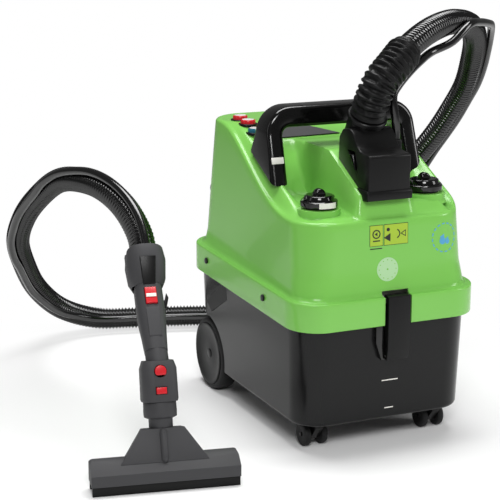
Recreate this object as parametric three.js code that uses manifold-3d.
// Carpet cleaner: a wheeled tank with a lift-off green head, a suction hose with a steam line beside it,
// and a floor hand tool. Millimetres, +Z up. The machine's front (the latch side) faces -Y, +X is its right.
import * as THREE from "three";
import { mergeVertices } from "three/addons/utils/BufferGeometryUtils.js";
import Module from "manifold-3d";

const wasm = await Module();
wasm.setup();

// ---------------------------------------------------------------- driving dimensions
const GAP = 0.3; // clearance left between pieces that touch
const SKIN = 4; // moulded wall thickness

const BAND = { halfX: 170, halfY: 237, corner: 55, bottom: 210, top: 258, rise: 0.036 };
const HOOD = { footX: 158, footY: 225, topX: 148, topY: 213, footCorner: 46, topCorner: 70, ceiling: 530 };
const DECK = {
  front: 384, top: 503, spine: 479, leftPocket: 388, rightPocket: 404,
  halfSpine: 44, halfShoulder: 126, halfCrest: 146,
};
const TANK = { halfX: 160, halfY: 225, footX: 155, footY: 219, corner: 50, bottom: 45, rim: 236 };
const WHEEL = { radius: 66.5, bore: 7, y: 172, inner: 124, outer: 158, well: 74, wellFace: 118 };
const CASTER = { x: 111, y: -181, radius: 20, halfTrack: 15, width: 12, trail: 14, axleZ: 20 };
const CAPS = [
  { side: "left", x: -97, y: -156, seat: 398 },
  { side: "right", x: 97, y: -157, seat: 410 },
];
const CAP = { radius: 32, boss: 35, neckBore: 14, neck: 18, hole: 19 };
const BUTTONS = [
  { name: "button_red_rear", y: 125, colour: "red" },
  { name: "button_red_front", y: 91, colour: "red" },
  { name: "knob_teal", y: 60, colour: "teal" },
];
const BUTTON = { x: -112, radius: 13, height: 8, travel: 2, stem: 5, seat: 15, stemLength: 24 };
const HANDLE = { halfX: 144, leg: 29, barBottom: 513, barTop: 548 };
const BLOCK = { halfX: 38, front: -205, back: -108, baseZ: 417 };
const LATCH = { x: 8.5, halfX: 20, front: -241, plate: 3, top: 258, crease: 173, foot: 152 };
const LATCH_PIVOT = { y: -231, z: 158, ear: 4.3 };
const SPINE_SLOPE = 0.53; // rise of the spine's crest under the hose connector
const DUCT = { y: -139, radius: 24, bore: 21, sleeve: 31, clearance: 28 };
const MOTOR = { x: 55, y: 135 };

// The neck of the hose connector leans forward from the block; the boot and the hose carry on along its line.
const NECK = { foot: [0, -117, 500], top: [0, -137.5, 541], radius: 33, bore: 23 };

// Route of the suction hose from the connector's neck, over the right rear corner, down to the floor behind the
// machine, along the floor and up in a standing loop to the hand tool.
const HOSE_ROUTE = [
  [0, -138, 542], [1, -148, 564], [11, -155, 594], [39, -150, 621], [78, -130, 647], [138, -95, 669],
  [208, -50, 677], [276, 0, 664], [319, 50, 633], [343, 95, 591],
  [358, 140, 539], [359, 185, 489], [351, 225, 439], [338, 265, 392], [305, 315, 320], [262, 360, 240],
  [214, 400, 160], [165, 440, 90], [110, 480, 42], [50, 519, 25], [-20, 549, 24], [-90, 573, 24],
  [-160, 593, 24], [-228, 606, 28], [-301, 598, 57], [-370, 545, 121], [-413, 485, 192], [-438, 430, 252],
  [-440, 375, 306], [-431, 320, 350], [-412, 230, 400], [-390, 150, 411], [-374, 80, 404], [-362, 20, 381],
  [-357, -29, 346], [-362, -54, 320], [-366, -72, 300],
];
const HOSE = { radius: 22, sides: 10, steps: 58 };
const BOOT = { radius: 30, bore: 25.5, share: 0.052 };
const STEAM = { radius: 7, sides: 8, steps: 110, spacing: 33, bootSpacing: 39.5 };
const STEAM_START = [[47.5, -146, 500.6], [47.5, -146, 514], [45, -147, 536]];

// Hand tool: a straight lower tube leaning back from the nozzle and a grip that leans back further.
const TOOL = { x: -400, y: -241, yaw: -11.4, lowerLean: 16, gripLean: 44, neckY: 34, neckZ: 85, lower: 107 };
const NOZZLE = { halfX: 116, halfMouth: 69, halfNeck: 29, lip: 15, barTop: 50, mouthTop: 96, corner: 7 };
const GRIP = { length: 123, cuff: 60 };

// ---------------------------------------------------------------- materials
const paint = (color, roughness, metalness = 0) =>
  new THREE.MeshStandardMaterial({ color, roughness, metalness });
const GREEN = paint(0x6fbf4a, 0.28);
const TANK_BLACK = paint(0x2a2a2c, 0.32);
const GLOSS_BLACK = paint(0x111012, 0.2);
const SATIN_BLACK = paint(0x262627, 0.5);
const GREY = paint(0x48484c, 0.55);
const RED = paint(0xc8161e, 0.35);
const TEAL = paint(0x1b6f86, 0.35);
const WHITE = paint(0xe9e6e0, 0.5);
const RUBBER = paint(0x161616, 0.85);
const STEEL = paint(0xb8bcc0, 0.3, 1);
const BRASS = paint(0xb08d57, 0.35, 1);
const BOARD_GREEN = paint(0x1d5c33, 0.6);

// ---------------------------------------------------------------- solids
// A closed three.js geometry as a manifold solid.
function solid(geometry) {
  const bare = new THREE.BufferGeometry();
  bare.setAttribute("position", geometry.getAttribute("position").clone());
  bare.setIndex(geometry.index ? geometry.index.clone() : null);
  const merged = mergeVertices(bare, 1e-4);
  const index = merged.index.array;
  const faces = [];
  for (let i = 0; i < index.length; i += 3) {
    const [a, b, c] = [index[i], index[i + 1], index[i + 2]];
    if (a !== b && b !== c && c !== a) faces.push(a, b, c);
  }
  return new wasm.Manifold(
    new wasm.Mesh({
      numProp: 3,
      vertProperties: new Float32Array(merged.attributes.position.array),
      triVerts: new Uint32Array(faces),
    }),
  );
}

// A manifold solid as a three.js geometry.
function shaped(body) {
  const mesh = body.getMesh();
  const geometry = new THREE.BufferGeometry();
  geometry.setAttribute("position", new THREE.BufferAttribute(mesh.vertProperties, 3));
  geometry.setIndex(new THREE.BufferAttribute(mesh.triVerts, 1));
  const flat = geometry.toNonIndexed();
  flat.computeVertexNormals();
  return flat;
}

const join = (first, ...others) => others.reduce((sum, other) => sum.add(other), first);
const cut = (first, ...others) => others.reduce((rest, other) => rest.subtract(other), first);

// A box between two corners.
function box([x0, y0, z0], [x1, y1, z1]) {
  const geometry = new THREE.BoxGeometry(x1 - x0, y1 - y0, z1 - z0);
  return solid(geometry.translate((x0 + x1) / 2, (y0 + y1) / 2, (z0 + z1) / 2));
}

// A rod along an axis, from its start point, with an optional second radius at its far end.
function rod(axis, [x, y, z], length, radius, sides = 20, endRadius = radius) {
  const geometry = new THREE.CylinderGeometry(endRadius, radius, length, sides).translate(0, length / 2, 0);
  if (axis === "x") geometry.rotateZ(-Math.PI / 2);
  if (axis === "z") geometry.rotateX(Math.PI / 2);
  return solid(geometry.translate(x, y, z));
}

// A body of revolution about Z from [radius, height] points.
function turned(points, sides = 24, [x, y, z] = [0, 0, 0]) {
  const profile = points.map(([radius, height]) => new THREE.Vector2(radius, height));
  const geometry = new THREE.LatheGeometry(profile, sides).rotateX(Math.PI / 2);
  return solid(geometry.translate(x, y, z));
}

// A flat outline pushed along an axis between two places. The outline is given in the two other axes, in order.
function slab(axis, outline, start, end, holes = []) {
  const shape = new THREE.Shape(outline.map(([a, b]) => new THREE.Vector2(a, b)));
  shape.holes = holes.map((hole) => new THREE.Path(hole.map(([a, b]) => new THREE.Vector2(a, b))));
  const geometry = new THREE.ExtrudeGeometry(shape, { depth: end - start, bevelEnabled: false, steps: 1 });
  geometry.translate(0, 0, start);
  const axes = new THREE.Matrix4();
  if (axis === "x") geometry.applyMatrix4(axes.set(0, 0, 1, 0, 1, 0, 0, 0, 0, 1, 0, 0, 0, 0, 0, 1));
  if (axis === "y") {
    geometry.applyMatrix4(axes.set(1, 0, 0, 0, 0, 0, -1, 0, 0, 1, 0, 0, 0, 0, 0, 1));
    geometry.translate(0, start + end, 0);
  }
  return solid(geometry);
}

// A rounded rectangle as a ring of points around Z, at the height that levelOf gives for each point.
function roundedRing(halfX, halfY, radius, levelOf, cornerSteps = 6) {
  const level = typeof levelOf === "function" ? levelOf : () => levelOf;
  const ring = [];
  for (let corner = 0; corner < 4; corner += 1) {
    const centreX = (corner === 0 || corner === 3 ? 1 : -1) * (halfX - radius);
    const centreY = (corner < 2 ? 1 : -1) * (halfY - radius);
    for (let step = 0; step <= cornerSteps; step += 1) {
      const angle = ((corner + step / cornerSteps) * Math.PI) / 2;
      const x = centreX + radius * Math.cos(angle);
      const y = centreY + radius * Math.sin(angle);
      ring.push(new THREE.Vector3(x, y, level(x, y)));
    }
  }
  return ring;
}

// A closed skin through stacked rings of equal length, with fanned ends.
function loft(rings) {
  const count = rings[0].length;
  const points = rings.flat();
  const faces = [];
  for (let row = 0; row + 1 < rings.length; row += 1) {
    for (let i = 0; i < count; i += 1) {
      const a = row * count + i;
      const b = row * count + ((i + 1) % count);
      faces.push(a, b, b + count, a, b + count, a + count);
    }
  }
  const last = (rings.length - 1) * count;
  for (let i = 1; i + 1 < count; i += 1) {
    faces.push(0, i + 1, i);
    faces.push(last, last + i, last + i + 1);
  }
  const geometry = new THREE.BufferGeometry().setFromPoints(points);
  geometry.setIndex(faces);
  return solid(geometry);
}

// A round or ring section swept along a smooth route.
function swept(route, radius, sides, steps, bore = 0) {
  const circle = (r) => {
    const points = [];
    for (let i = 0; i < sides; i += 1) {
      const angle = (i / sides) * 2 * Math.PI;
      points.push(new THREE.Vector2(r * Math.cos(angle), r * Math.sin(angle)));
    }
    return points;
  };
  const shape = new THREE.Shape(circle(radius));
  if (bore > 0) shape.holes.push(new THREE.Path(circle(bore)));
  const extrudePath = smoothRoute(route);
  return solid(new THREE.ExtrudeGeometry(shape, { steps, extrudePath, bevelEnabled: false }));
}

function smoothRoute(route) {
  const points = route.map(([x, y, z]) => new THREE.Vector3(x, y, z));
  return new THREE.CatmullRomCurve3(points, false, "centripetal");
}

// ---------------------------------------------------------------- the hood's upper surface
const { clamp, lerp, smoothstep } = THREE.MathUtils;

// A straight ramp from the front level to the top level whose two ends are eased.
function ramp(y, start, slope, ease = 0.12) {
  const t = (slope * (y - start)) / (DECK.top - DECK.front);
  let part = clamp(t, 0, 1);
  if (Math.abs(t) < ease) part = (t + ease) ** 2 / (4 * ease);
  if (Math.abs(t - 1) < ease) part = 1 - (1 + ease - t) ** 2 / (4 * ease);
  return lerp(DECK.front, DECK.top, part);
}

// The left rim is a slow S; the right rim and the shoulders under the handle's feet are straight ramps.
function leftCrest(y) {
  const t = clamp((y + 165) / 305, 0, 1) ** 1.2;
  return lerp(DECK.front, DECK.top, smoothstep(t, 0, 1));
}
const rightCrest = (y) => ramp(y, -190, 0.5);
const shoulder = (y) => ramp(y, -160, 0.48);

// Distance inside the hood's rounded outline at deck height.
function insideDistance(x, y) {
  const dx = Math.abs(x) - (HOOD.topX - HOOD.topCorner);
  const dy = Math.abs(y) - (HOOD.topY - HOOD.topCorner);
  const outer = Math.hypot(Math.max(dx, 0), Math.max(dy, 0));
  return HOOD.topCorner - outer - Math.min(Math.max(dx, dy), 0);
}

// Height of the green hood's top skin over any point.
function deckHeight(x, y) {
  const across = Math.abs(x);
  const crest = x < 0 ? leftCrest(y) : rightCrest(y);
  const side = x < 0 ? shoulder(y) : Math.max(shoulder(y), rightCrest(y) - 10);
  const outer = lerp(side, crest, smoothstep(across, DECK.halfShoulder, DECK.halfCrest));
  const beside = smoothstep(across, DECK.halfSpine, DECK.halfSpine + 14);
  const floor = (x < 0 ? DECK.leftPocket : DECK.rightPocket) + 0.07 * (y + 190);
  const pocket = lerp(floor, shoulder(y), smoothstep(y, -50, 40));
  const spineTop = Math.max(shoulder(y), DECK.spine);
  const spine = Math.min(BLOCK.baseZ - 1 + SPINE_SLOPE * (y - BLOCK.front), spineTop);
  const inner = lerp(spine, pocket, beside);
  const level = lerp(inner, outer, smoothstep(across, 102, DECK.halfShoulder));
  const risen = x < 0 ? -196 : lerp(-196, -186, beside); // where the step up from the front edge ends
  const fronted = lerp(DECK.front, level, smoothstep(y, -211, risen));
  const round = 10;
  const inset = clamp(insideDistance(x, y), 0, round);
  return fronted - (round - Math.sqrt(round ** 2 - (round - inset) ** 2)) * 0.8;
}

// Everything above the deck, down to the deck height plus a shift, as one solid.
function aboveDeck(shift) {
  const columns = 18;
  const rows = 24;
  const spanX = HOOD.footX + 4;
  const spanY = HOOD.footY + 4;
  const vertices = [];
  const faces = [];
  for (const layer of [0, 1]) {
    for (let j = 0; j <= rows; j += 1) {
      for (let i = 0; i <= columns; i += 1) {
        const x = lerp(-spanX, spanX, i / columns);
        const y = lerp(-spanY, spanY, j / rows);
        vertices.push(new THREE.Vector3(x, y, layer ? HOOD.ceiling + 40 : deckHeight(x, y) + shift));
      }
    }
  }
  const point = (i, j, layer) => layer * (rows + 1) * (columns + 1) + j * (columns + 1) + i;
  const quad = (a, b, c, d) => faces.push(a, b, c, a, c, d);
  for (let j = 0; j < rows; j += 1) {
    for (let i = 0; i < columns; i += 1) {
      quad(point(i, j, 0), point(i, j + 1, 0), point(i + 1, j + 1, 0), point(i + 1, j, 0));
      quad(point(i, j, 1), point(i + 1, j, 1), point(i + 1, j + 1, 1), point(i, j + 1, 1));
    }
    quad(point(0, j, 0), point(0, j, 1), point(0, j + 1, 1), point(0, j + 1, 0));
    quad(point(columns, j, 0), point(columns, j + 1, 0), point(columns, j + 1, 1), point(columns, j, 1));
  }
  for (let i = 0; i < columns; i += 1) {
    quad(point(i, 0, 0), point(i + 1, 0, 0), point(i + 1, 0, 1), point(i, 0, 1));
    quad(point(i, rows, 0), point(i, rows, 1), point(i + 1, rows, 1), point(i + 1, rows, 0));
  }
  const geometry = new THREE.BufferGeometry().setFromPoints(vertices);
  geometry.setIndex(faces);
  return solid(geometry);
}

// The hood's outside before the deck is cut, drawn in by an inset for its inside.
function hoodBody(inset, bottom) {
  const tilted = (z) => (x, y) => z + BAND.rise * (y + BAND.halfY);
  const ring = (halfX, halfY, radius, level) =>
    roundedRing(halfX - inset, halfY - inset, radius - inset, level);
  return loft([
    ring(BAND.halfX, BAND.halfY, BAND.corner, tilted(bottom)),
    ring(BAND.halfX, BAND.halfY, BAND.corner, tilted(BAND.top - 4 - inset)),
    ring(BAND.halfX - 4, BAND.halfY - 4, BAND.corner - 4, tilted(BAND.top - inset)),
    ring(HOOD.footX, HOOD.footY, HOOD.footCorner, tilted(BAND.top + 1 - inset)),
    ring(HOOD.footX - 4, HOOD.footY - 5, HOOD.footCorner + 8, tilted(BAND.top + 40)),
    ring(HOOD.topX, HOOD.topY, HOOD.topCorner, HOOD.ceiling - 60),
    ring(HOOD.topX - 4, HOOD.topY - 4, HOOD.topCorner, HOOD.ceiling),
  ]);
}

// ---------------------------------------------------------------- assembly helpers
const object = new THREE.Group();
const cords = new Set();

function add(name, body, material, parent = object) {
  const mesh = new THREE.Mesh(shaped(body), material);
  mesh.name = name;
  parent.add(mesh);
  return mesh;
}

// ---------------------------------------------------------------- head: hood, gasket and base plate
const deckVoid = aboveDeck(0);
const hoodOutside = hoodBody(0, BAND.bottom).subtract(deckVoid);

function addHood() {
  const notch = (grow) =>
    join(
      box([LATCH.x - 24.5 - grow, -260, 195], [LATCH.x + 24.5 + grow, -228 + grow, 262]),
      box([LATCH.x - 22 - grow, -260, 249 - grow], [LATCH.x + 22 + grow, -219 + grow, 267 + grow]),
    );
  const bosses = CAPS.map(({ x, y, seat }) => rod("z", [x, y, 370], seat - 370, CAP.boss, 28));
  const clearances = CAPS.map(({ x, y, seat }) => rod("z", [x, y, seat], 60, CAP.boss + 1.5, 28));
  const holes = CAPS.map(({ x, y }) => rod("z", [x, y, 350], 80, CAP.hole));
  const inside = hoodBody(SKIN, BAND.bottom - 12)
    .subtract(aboveDeck(-6))
    .subtract(notch(2.5));
  let hood = join(hoodOutside, ...bosses);
  hood = cut(hood, inside, notch(0), ...clearances, ...holes);
  for (const { y } of BUTTONS) {
    const seat = buttonSeat(y);
    const recess = rod("z", [BUTTON.x, y, seat], 30, BUTTON.seat);
    const stemHole = rod("z", [BUTTON.x, y, seat - 30], 40, BUTTON.stem + 1);
    hood = cut(hood, recess, stemHole);
  }
  hood = hood.subtract(rod("z", [0, DUCT.y, 380], 90, NECK.bore));
  for (const { side, y, z } of SCREWS) hood = hood.subtract(screwHole(side, y, z));
  hood = hood.subtract(rod("y", [INLET.x, 195, INLET.z], 40, INLET.radius + 1));
  add("hood", hood, GREEN);
}

const buttonSeat = (y) => deckHeight(BUTTON.x, y) - 1.5;
const INLET = { x: -112, z: 365, radius: 17 };
const SCREWS = [
  { name: "screw_left_rear", side: -1, y: 142, z: 242 },
  { name: "screw_left_front", side: -1, y: -101, z: 234 },
  { name: "screw_right_rear", side: 1, y: 142, z: 242 },
  { name: "screw_right_front", side: 1, y: -101, z: 234 },
];
const screwHole = (side, y, z) => rod("x", [side > 0 ? 160 : -180, y, z + 8], 20, 3);

function addBandScrews() {
  for (const { name, side, y, z } of SCREWS) {
    const head = rod("x", [side > 0 ? BAND.halfX + GAP : -BAND.halfX - GAP - 3, y, z + 8], 3, 5.5, 20);
    const shank = rod("x", [side > 0 ? 161 : -171, y, z + 8], 10, 2.6, 12);
    add(name, head.add(shank), SATIN_BLACK);
  }
}

function addHeadPlate() {
  const level = TANK.rim + 4;
  const ring = (inset, z) => roundedRing(TANK.halfX - inset, TANK.halfY - inset, TANK.corner - inset, z);
  const seal = loft([ring(0, TANK.rim + GAP), ring(0, level)]);
  add("tank_gasket", seal.subtract(loft([ring(8, TANK.rim - 1), ring(8, level + 1)])), RUBBER);
  const plate = cut(
    loft([ring(0, level + GAP), ring(0, level + 6)]),
    rod("z", [MOTOR.x, MOTOR.y, level - 1], 10, 34),
    rod("z", [0, DUCT.y, level - 1], 10, 25),
  );
  add("head_plate", plate, SATIN_BLACK);
}

// ---------------------------------------------------------------- inside the head
function addInternals() {
  const floor = TANK.rim + 10 + GAP;
  const tankRing = (inset, z) => {
    const ring = roundedRing(126 - inset, 66 - inset, 30 - inset, z, 4);
    ring.forEach((point) => (point.y -= 138));
    return ring;
  };
  const water = cut(
    loft([tankRing(0, floor), tankRing(0, 368)]),
    loft([tankRing(3, floor + 3), tankRing(3, 365)]),
    ...CAPS.map(({ x, y }) => rod("z", [x, y, 350], 40, CAP.neckBore)),
    rod("z", [0, DUCT.y, 200], 200, DUCT.clearance + 1),
  );
  const sleeveWall = rod("z", [0, DUCT.y, floor], 368 - floor, DUCT.sleeve);
  const sleeve = sleeveWall.subtract(rod("z", [0, DUCT.y, 200], 200, DUCT.clearance));
  add("fresh_water_tank", water.add(sleeve), WHITE);
  const ductFoot = TANK.rim - 30;
  const ductWall = rod("z", [0, DUCT.y, ductFoot], 408 - ductFoot, DUCT.radius);
  add("suction_duct", ductWall.subtract(rod("z", [0, DUCT.y, ductFoot - 10], 260, DUCT.bore)), SATIN_BLACK);

  const boiler = turned([[0, 0], [30, 0], [47, 10], [50, 22], [50, 158], [47, 170], [30, 180], [0, 180]], 32);
  add("boiler", boiler.rotate([0, 90, 0]).translate([-100, -10, floor + 51]), BRASS);
  const motor = turned([[0, 0], [58, 0], [62, 4], [62, 44], [48, 48], [48, 108], [20, 114], [0, 114]], 32);
  add("vacuum_motor", motor.translate([MOTOR.x, MOTOR.y, floor]), STEEL);
  const pump = box([-100, 105, floor], [-40, 165, floor + 46]).add(rod("y", [-70, 68, floor + 24], 38, 20));
  add("water_pump", pump, SATIN_BLACK);

  const board = { x0: -136, x1: -84, y0: 44, y1: 146, z: 440 };
  let circuit = box([board.x0, board.y0, board.z], [board.x1, board.y1, board.z + 2]);
  for (const x of [board.x0 + 5, board.x1 - 5]) {
    for (const y of [board.y0 + 5, board.y1 - 5]) {
      const around = [[0, 0], [4, 0], [0, -4], [-4, 0]].map(([dx, dy]) => deckHeight(x + dx, y + dy));
      const top = Math.min(...around) - 8;
      circuit = circuit.add(rod("z", [x, y, board.z + 1], top - board.z - 1, 3, 12));
    }
  }
  add("control_board", circuit, BOARD_GREEN);

  const cage = turned([[36, 0], [40, 0], [40, 52], [36, 52], [36, 0]], 24);
  const slots = [0, 45, 90, 135].map((turn) =>
    box([-60, -4, 8], [60, 4, 40]).rotate([0, 0, turn]),
  );
  const cageBody = cut(join(cage, rod("z", [0, 0, 0], 3, 38)), ...slots);
  add("float_cage", cageBody.translate([MOTOR.x, MOTOR.y, TANK.rim - 48.5]), SATIN_BLACK);
}

// ---------------------------------------------------------------- tank
function addTank() {
  const ring = (inset, z) => {
    const t = (z - TANK.bottom) / (TANK.rim - TANK.bottom);
    const halfX = lerp(TANK.footX, TANK.halfX, clamp(t, 0, 1));
    const halfY = lerp(TANK.footY, TANK.halfY, clamp(t, 0, 1));
    return roundedRing(halfX - inset, halfY - inset, TANK.corner - inset, z);
  };
  const outside = loft([ring(5, TANK.bottom), ring(0, TANK.bottom + 5), ring(0, TANK.rim)]);
  const cavityFloor = ring(SKIN + 4, TANK.bottom + SKIN);
  const cavity = loft([cavityFloor, ring(SKIN, TANK.bottom + 9), ring(SKIN, TANK.rim + 5)]);
  const wells = [];
  const wellWalls = [];
  for (const side of [-1, 1]) {
    const start = side > 0 ? WHEEL.wellFace : -WHEEL.wellFace - 60;
    const wallStart = side > 0 ? WHEEL.wellFace - SKIN : -WHEEL.wellFace - 60;
    wells.push(rod("x", [start, WHEEL.y, WHEEL.radius], 60, WHEEL.well, 32));
    wells.push(box([start, WHEEL.y, 0], [start + 60, 260, WHEEL.radius + 30]));
    wellWalls.push(rod("x", [wallStart, WHEEL.y, WHEEL.radius], 64, WHEEL.well + SKIN, 32));
    wellWalls.push(box([wallStart, WHEEL.y, 0], [wallStart + 64, 260, WHEEL.radius + 30 + SKIN]));
  }
  const stubHoles = [-1, 1].map((side) =>
    rod("x", [side > 0 ? 100 : -130, WHEEL.y, WHEEL.radius], 30, WHEEL.bore - 0.7, 24),
  );
  const pads = [-1, 1].map((side) => rod("z", [side * CASTER.x, CASTER.y, TANK.bottom - 1], 26, 15, 24));
  const sockets = [-1, 1].map((side) => rod("z", [side * CASTER.x, CASTER.y, TANK.bottom - 3], 22, 5.4, 20));
  let tank = cut(outside, cut(cavity, ...wellWalls), ...wells);
  tank = cut(join(tank, ...pads), ...sockets, ...stubHoles);
  const below = box([-200, -260, TANK.bottom - 5], [200, 260, TANK.bottom]);
  add("tank", tank.subtract(below), TANK_BLACK);
}

// ---------------------------------------------------------------- wheels and casters
function addRearWheels() {
  const width = WHEEL.outer - WHEEL.inner;
  const r = WHEEL.radius;
  for (const side of [-1, 1]) {
    const label = side < 0 ? "left" : "right";
    const wheel = new THREE.Group();
    wheel.position.set(side * WHEEL.inner, WHEEL.y, r);
    wheel.rotation.y = (side * Math.PI) / 2;
    object.add(wheel);
    const tyre = [
      [r - 9, 0], [r - 3, 0], [r, 5], [r, width - 7], [r - 3, width - 2], [r - 9, width - 2], [r - 9, 0],
    ];
    add(`tyre_${label}`, turned(tyre, 36), RUBBER, wheel);
    const web = width - 7;
    const rim = [
      [WHEEL.bore, 1], [16, 1], [16, web - 6], [r - 16, web - 6], [r - 16, 1], [r - 9.3, 1],
      [r - 9.3, width - 1], [r - 14, width], [18, width - 4], [WHEEL.bore, width - 4], [WHEEL.bore, 1],
    ];
    add(`wheel_disc_${label}`, turned(rim, 36), SATIN_BLACK, wheel);
    const axle = rod("z", [0, 0, WHEEL.wellFace - WHEEL.inner - 12], 12 + 6 + width - 2, WHEEL.bore - 1, 24);
    const collar = rod("z", [0, 0, WHEEL.wellFace - WHEEL.inner + GAP], 4, 11, 24);
    const cap = rod("z", [0, 0, width - 3.5], 4, 13, 24, 10);
    add(`axle_${label}`, join(axle, collar, cap), SATIN_BLACK, wheel);
  }
}

function addCasters() {
  const { axleZ, trail, halfTrack, width, radius } = CASTER;
  for (const side of [-1, 1]) {
    const label = side < 0 ? "left" : "right";
    const caster = new THREE.Group();
    caster.position.set(side * CASTER.x, CASTER.y, 0);
    object.add(caster);
    const cheek = [
      [-12, 44], [-13, 36], [trail - 9, axleZ - 7], [trail + 8, axleZ - 7], [trail + 8, axleZ + 9], [12, 44],
    ];
    const housing = join(
      rod("z", [0, 0, TANK.bottom - 5], 4, 13),
      slab("x", cheek, -7, 7),
      rod("x", [-halfTrack - width / 2 - 1, trail, axleZ], 2 * halfTrack + width + 2, 3.2, 20),
    );
    const stem = rod("z", [0, 0, TANK.bottom - 5], 20, 4.8, 20);
    const plate = box([-20, -20, TANK.bottom - GAP], [20, 20, TANK.bottom + 30]);
    add(`caster_fork_${label}`, housing.subtract(plate).add(stem), SATIN_BLACK, caster);
    for (const [place, offset] of [["outer", side * halfTrack], ["inner", -side * halfTrack]]) {
      const profile = [
        [3.6, -width / 2], [radius - 6, -width / 2], [radius, -width / 2 + 3], [radius, width / 2 - 3],
        [radius - 6, width / 2], [3.6, width / 2], [3.6, -width / 2],
      ];
      const wheel = turned(profile, 20).rotate([0, 90, 0]).translate([offset, trail, axleZ]);
      add(`caster_wheel_${label}_${place}`, wheel, RUBBER, caster);
    }
  }
}

// ---------------------------------------------------------------- carrying handle
function arc(centreX, centreZ, radius, from, to, steps) {
  const points = [];
  for (let i = 0; i <= steps; i += 1) {
    const angle = THREE.MathUtils.degToRad(lerp(from, to, i / steps));
    points.push([centreX + radius * Math.cos(angle), centreZ + radius * Math.sin(angle)]);
  }
  return points;
}

function addHandle() {
  const { halfX, leg, barBottom, barTop } = HANDLE;
  const outer = 46;
  const inner = 14;
  const outline = [
    [halfX, 380],
    ...arc(halfX - 4 - outer, barTop - outer, outer, 0, 90, 7),
    ...arc(-halfX + 4 + outer, barTop - outer, outer, 90, 180, 7),
    [-halfX, 380], [-halfX + leg, 380],
    ...arc(-halfX + leg + 4 + inner, barBottom - inner, inner, 180, 90, 4),
    ...arc(halfX - leg - 4 - inner, barBottom - inner, inner, 90, 0, 4),
    [halfX - leg, 380],
  ];
  const sideView = [
    [-92, 380], [-50, 508], [-48, barTop - 6], [-42, barTop + 1], [-8, barTop + 1], [0, barTop - 6], [2, 505],
    [24, 462], [24, 380],
  ];
  const arch = slab("y", outline.slice().reverse(), -100, 40).intersect(slab("x", sideView, -160, 160));
  add("handle", arch.subtract(hoodOutside.translate([0, 0, GAP])), GLOSS_BLACK);
  const plate = slab("y", [[-11, 0], [11, 0], [11, 11], [-11, 11]].reverse(), -1.2, 0);
  add("handle_label", plate.rotate([-18.2, 0, 0]).translate([-128.5, -67.2, 457]), WHITE);
}

// ---------------------------------------------------------------- caps, necks and the console
function addFillers() {
  for (const { side, x, y, seat } of CAPS) {
    const neck = [
      [CAP.neckBore, -28], [CAP.neck, -28], [CAP.neck, 0.4], [24, 0.4], [24, 3], [CAP.neck, 3],
      [CAP.neck, 13], [CAP.neckBore, 13], [CAP.neckBore, -28],
    ];
    add(`filler_neck_${side}`, turned(neck, 20, [x, y, seat]), SATIN_BLACK);
    const cap = [
      [0, 13.6], [CAP.neck + 0.8, 13.6], [CAP.neck + 0.8, 4], [CAP.radius - 1, 4], [CAP.radius, 6],
      [CAP.radius, 13], [CAP.radius - 3, 16], [25, 17], [24, 22], [20, 24], [0, 24],
    ];
    const grip = join(
      box([-27, -6, 15], [27, 6, 21]),
      rod("y", [0, -8, 22], 16, 10, 24),
    );
    add(`cap_${side}`, turned(cap, 28).add(grip).translate([x, y, seat]), GLOSS_BLACK);
  }
}

function addConsole() {
  for (const { name, y, colour } of BUTTONS) {
    const seat = buttonSeat(y);
    const { radius, height } = BUTTON;
    const head = [[0, 0], [radius, 0], [radius, height - 2], [radius - 2, height], [0, height]];
    const stem = rod("z", [0, 0, -BUTTON.stemLength], BUTTON.stemLength + 1, BUTTON.stem, 20);
    const body = join(turned(head, 32), stem, ...(colour === "teal" ? [box([-2, -11, 6], [2, 11, 10])] : []));
    add(name, body.translate([BUTTON.x, y, seat + BUTTON.travel + 0.5]), colour === "teal" ? TEAL : RED);
  }
  const panel = slab("z", [[-84, 40], [42, 42], [-12, 70], [-84, 70]], 470, 510);
  const above = hoodOutside.translate([0, 0, 3.2]);
  const cover = panel.subtract(hoodOutside.translate([0, 0, GAP])).intersect(above);
  add("console_panel", cover, GREY);
  const inlet = [[0, 0], [INLET.radius, 0], [INLET.radius, 18], [9, 22], [9, 30], [0, 30]];
  const body = turned(inlet, 28).rotate([-90, 0, 0]).translate([INLET.x, 207, INLET.z]);
  add("power_inlet", body, SATIN_BLACK);
}

// ---------------------------------------------------------------- hose connector
const neckLean = Math.atan2(NECK.foot[1] - NECK.top[1], NECK.top[2] - NECK.foot[2]);
const neckLength = Math.hypot(NECK.foot[1] - NECK.top[1], NECK.top[2] - NECK.foot[2]);

function alongNeck(body) {
  return body.rotate([THREE.MathUtils.radToDeg(neckLean), 0, 0]).translate(NECK.foot);
}

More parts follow.
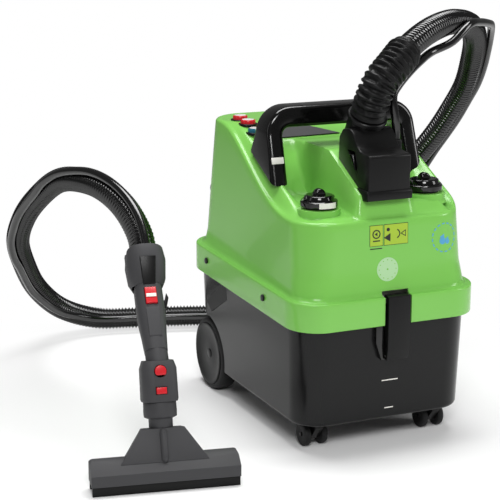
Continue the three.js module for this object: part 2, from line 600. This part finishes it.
function addConnector() {
  const { halfX, front, back, baseZ } = BLOCK;
  const sideView = [
    [front, baseZ - 6], [front - 9, 428], [front - 10, 484], [front - 7, 487], [-190, 488], [-176, 494],
    [-164, 508], [-150, 522], [-122, 518], [back - 2, 505], [back, 470], [back, baseZ + 20], [-150, baseZ - 6],
  ];
  const lipOutline = [[front - 3, 412], [front - 6, 430], [-190, 430], [-190, 412]];
  const lip = slab("x", lipOutline, -halfX - 3, halfX + 3);
  const pocket = slab("x", [[-176, 452], [-140, 487], [-166, 487]], -halfX - 1, -halfX + 9);
  const neck = alongNeck(rod("z", [0, 0, -10], neckLength + 10 - 8, NECK.radius - 3, 24));
  let block = join(slab("x", sideView, -halfX, halfX), lip, neck);
  block = cut(block, pocket, alongNeck(rod("z", [0, 0, -30], neckLength + 40, NECK.bore, 20)));
  block = block.subtract(rod("z", [0, DUCT.y, 380], 115, NECK.bore, 20));
  const elbow = box([halfX - 1, -156, 466], [halfX + 17, -136, 500]);
  block = block.add(elbow).subtract(hoodOutside.translate([0, 0, GAP]));
  add("connector_block", block, SATIN_BLACK);
  const lever = slab("x", [[-171, 458], [-147, 481], [-163, 482]], -halfX - 3, -halfX + 5);
  add("connector_release", lever, GLOSS_BLACK);
  const { radius, bore } = NECK;
  const collar = [[bore, GAP], [radius, GAP], [radius, 7.5], [bore, 7.5], [bore, GAP]];
  add("hose_collar", alongNeck(turned(collar, 24).translate([0, 0, neckLength - 8])), SATIN_BLACK);
  const centre = smoothRoute(HOSE_ROUTE);
  const bootRoute = [0, 1, 2, 3, 4, 5, 6].map((i) => centre.getPointAt((BOOT.share * i) / 6).toArray());
  add("hose_boot", swept(bootRoute, BOOT.radius, 12, 9, BOOT.bore), RUBBER);
}

// ---------------------------------------------------------------- front latch
function addLatch() {
  const { x, halfX, front, plate, top, crease, foot } = LATCH;
  const { y: pivotY, z: pivotZ, ear } = LATCH_PIVOT;
  const hookEnd = -224;
  const inner = front + plate;
  const face = slab("x", [
    [front, crease], [front, top], [front + 2, top + 2], [hookEnd, top + 2], [hookEnd, top - 3],
    [inner, top - 3], [inner, crease], [pivotY - 4, foot], [pivotY - 6.5, foot],
  ], x - halfX, x + halfX);
  const flangeOutline = [
    [front + 1, crease], [front + 1, top - 1], [pivotY - 1, top - 1], [pivotY + 2, 200],
    [pivotY + 4.5, pivotZ + 5], [pivotY + 4.5, pivotZ - 4], [pivotY - 5, foot],
  ];
  const flanges = [x - halfX, x + halfX - plate].map((start) => slab("x", flangeOutline, start, start + plate));
  const pinHole = rod("x", [x - 40, pivotY, pivotZ], 80, 2.5);
  add("latch", join(face, ...flanges).subtract(pinHole), SATIN_BLACK);
  add("latch_pin", rod("x", [x - halfX, pivotY, pivotZ], 2 * halfX, 2.1), STEEL);
  const ears = [x - 13, x + 9].map((start) => {
    const web = box([start, pivotY, pivotZ - ear], [start + 4, -224, pivotZ + ear]);
    return rod("x", [start, pivotY, pivotZ], 4, ear).add(web);
  });
  const base = box([x - 13, -224.7, pivotZ - 8], [x + 13, -223.2, pivotZ + 14]);
  add("latch_bracket", cut(join(base, ...ears), pinHole), SATIN_BLACK);
  add("latch_keeper", box([x - 13, -229.5, 249 + GAP], [x + 13, -225, top - 3.6]), STEEL);
}

// ---------------------------------------------------------------- hand tool
function addHandTool() {
  const tool = new THREE.Group();
  tool.position.set(TOOL.x, TOOL.y, 0);
  tool.rotation.z = THREE.MathUtils.degToRad(TOOL.yaw);
  object.add(tool);
  addNozzle(tool);

  const lower = new THREE.Group();
  lower.position.set(0, TOOL.neckY, TOOL.neckZ);
  lower.rotation.x = -THREE.MathUtils.degToRad(TOOL.lowerLean);
  tool.add(lower);
  addLowerTube(lower);

  const bend = new THREE.Vector3(0, 0, TOOL.lower).applyEuler(lower.rotation).add(lower.position);
  const grip = new THREE.Group();
  grip.position.copy(bend);
  grip.rotation.x = -THREE.MathUtils.degToRad(TOOL.gripLean);
  tool.add(grip);
  addGrip(grip);
}

function addNozzle(tool) {
  const { halfX, halfMouth, halfNeck, lip, barTop, mouthTop, corner } = NOZZLE;
  const lean = TOOL.lowerLean;
  const foot = [0, 10, 45]; // where the fan-shaped mouth grows out of the bar
  const leaned = (body) => body.rotate([-lean - 8, 0, 0]).translate(foot);
  const fan = (half, bottom, halfTop, top, thickness) =>
    leaned(slab("y", [[-halfTop, top], [halfTop, top], [half, bottom], [-half, bottom]], -thickness, thickness));
  const barOutline = [[-20, lip], [-20, 33], [4, barTop - 2], [14, barTop], [20, 44], [20, lip]];
  const bar = slab("x", barOutline, -halfX, halfX);
  const corners = [-1, 1].map((side) => {
    const middle = side * (halfX - corner / 2);
    const end = box([middle - corner / 2, -30, barTop - corner], [middle + corner / 2 + 0.1, 30, barTop + 1]);
    return end.subtract(rod("y", [side * (halfX - corner), -30, barTop - corner], 60, corner, 24));
  });
  const mouth = fan(halfMouth, -8, halfNeck, mouthTop - foot[2], 13);
  const rib = leaned(rod("z", [0, -13, 0], 36, 6, 16));
  const slot = box([-halfX + 8, -13, lip - 1], [halfX - 8, 13, 36]);
  const throat = fan(halfMouth - 10, -14, 15, mouthTop - foot[2] - 7, 8);
  const bore = rod("z", [0, 0, -30], 60, 13, 24).rotate([-lean, 0, 0]).translate([0, TOOL.neckY, TOOL.neckZ]);
  const above = box([-60, -60, 0], [60, 60, 60]).rotate([-lean, 0, 0]).translate([0, TOOL.neckY, TOOL.neckZ]);
  const body = cut(join(bar, mouth, rib), ...corners, slot, throat, bore, above);
  add("nozzle_body", body, GREY, tool);
  for (const [place, y] of [["front", -19], ["back", 14]]) {
    add(`nozzle_lip_${place}`, box([-halfX + 1, y, 0], [halfX - 1, y + 5, lip - GAP]), RUBBER, tool);
  }
}

function addLowerTube(lower) {
  const neck = [[15, GAP], [19, GAP], [19, 14], [26, 17], [26.5, 26], [26, 40], [15, 40], [15, GAP]];
  add("tool_neck", turned(neck, 20), GREY, lower);
  const ring = (half, z) => roundedRing(half, half, half * 0.62, z, 5);
  const shell = loft([ring(27, 40 + GAP), ring(28.5, 44), ring(28, 92), ring(24, 104)]);
  const buttonWell = box([-9, -40, 52], [9, -17, 64]);
  const archWell = rod("y", [0, -40, 88], 23, 10);
  const socket = cut(shell, rod("z", [0, 0, 30], 100, 14, 20), buttonWell, archWell);
  add("tool_socket", socket, GREY, lower);
  add("socket_button", box([-8, -31, 53], [8, -20.5, 63]), RED, lower);
  const arch = rod("y", [0, -31, 88], 10.5, 9).subtract(box([-20, -40, 70], [20, 0, 82]));
  add("socket_latch", arch, RED, lower);
}

function addGrip(grip) {
  const { length, cuff } = GRIP;
  const ring = (halfX, halfY, z) => roundedRing(halfX, halfY, Math.min(halfX, halfY) * 0.8, z, 5);
  const body = loft([ring(18, 18, 10), ring(20, 20, 40), ring(22.5, 24, 70), ring(22, 24, length)]);
  const bend = TOOL.gripLean - TOOL.lowerLean;
  const joint = rod("z", [0, 0, -20], 32, 18, 24);
  const below = box([-60, -60, -80], [60, 60, 104 + GAP - TOOL.lower]).rotate([bend, 0, 0]);
  const well = box([-10, -40, 84], [10, -13.6, 114]);
  const leverSlot = box([12, -6, 80], [40, 6, 116]);
  const clear = rod("z", [0, 0, -30], 200, 13);
  add("tool_grip", cut(join(body, joint), well, leverSlot, clear, below), GREY, grip);
  add("grip_switch", box([-9, -27, 85], [9, -15.5, 113]), RED, grip);
  add("switch_insert", box([-8, -28.2, 95], [8, -27.3, 101]), WHITE, grip);
  const fin = slab("y", [[14, 82], [26, 86], [31, 104], [28, 113], [24, 100], [14, 96]].reverse(), -5, 5);
  add("grip_lever", fin, SATIN_BLACK, grip);
  const bulge = (halfX, halfY, shift, z) => ring(halfX, halfY, z).map((point) => point.setY(point.y - shift));
  const housing = loft([
    bulge(23, 24, 0, length + GAP), bulge(30, 29, 2, length + 14), bulge(32, 36, 8, length + 40),
    bulge(29, 36, 8, length + cuff),
  ]);
  const mouth = join(
    rod("z", [0, 0, 100], 150, HOSE.radius + 3, 24),
    rod("z", [0, -STEAM.spacing, length + cuff - 34], 60, STEAM.radius + 2, 16),
  );
  const end = length + cuff;
  const ears = [-1, 1].map((side) => box([side * 27 - 3, -5, end - 10], [side * 27 + 3, 5, end + 3]));
  add("tool_cuff", join(housing, ...ears).subtract(mouth), GREY, grip);
}

// ---------------------------------------------------------------- hoses
// The steam line rises from its elbow on the connector and keeps one distance from the suction hose: beneath it up
// the arch, over its front to its outer side where it comes down, then turning round to its front where it lies on
// the floor and rises to the hand tool.
function steamRoute() {
  const centre = smoothRoute(HOSE_ROUTE);
  const route = [...STEAM_START];
  const count = 60;
  const beneath = new THREE.Vector3(0.5, 0.3, -0.8);
  const before = new THREE.Vector3(0.2, -1, 0.1);
  const side = new THREE.Vector3(1, 0, 0.3);
  const front = new THREE.Vector3(-0.4, -0.88, 0.25);
  const gripFront = new THREE.Vector3(-0.14, -0.71, 0.69);
  for (let i = 1; i <= count; i += 1) {
    const t = i / count;
    const along = centre.getTangentAt(t);
    const outward = beneath.clone().lerp(before, smoothstep(t, 0.08, 0.13));
    outward.lerp(side, smoothstep(t, 0.13, 0.18));
    outward.lerp(front, smoothstep(t, 0.2, 0.5));
    outward.lerp(gripFront, smoothstep(t, 0.85, 0.97));
    outward.addScaledVector(along, -outward.dot(along)).normalize();
    const spacing = lerp(STEAM.bootSpacing, STEAM.spacing, smoothstep(t, 0.06, 0.12));
    route.push(centre.getPointAt(t).addScaledVector(outward, spacing).toArray());
  }
  return route;
}

function addHoses() {
  cords.add(add("suction_hose", swept(HOSE_ROUTE, HOSE.radius, HOSE.sides, HOSE.steps), RUBBER));
  cords.add(add("steam_hose", swept(steamRoute(), STEAM.radius, STEAM.sides, STEAM.steps), RUBBER));
}

// ---------------------------------------------------------------- the whole object
addTank();
addHood();
addBandScrews();
addHeadPlate();
addInternals();
addRearWheels();
addCasters();
addHandle();
addFillers();
addConsole();
addConnector();
addLatch();
addHandTool();
addHoses();

// The object's frame has its origin on the floor under the middle of everything but the cords.
object.updateMatrixWorld(true);
const extent = new THREE.Box3();
object.traverse((item) => {
  if (item.isMesh && !cords.has(item)) extent.expandByObject(item, true);
});
const middle = extent.getCenter(new THREE.Vector3());
object.position.set(-middle.x, -middle.y, -extent.min.z);
object.updateMatrixWorld(true);

export default object;
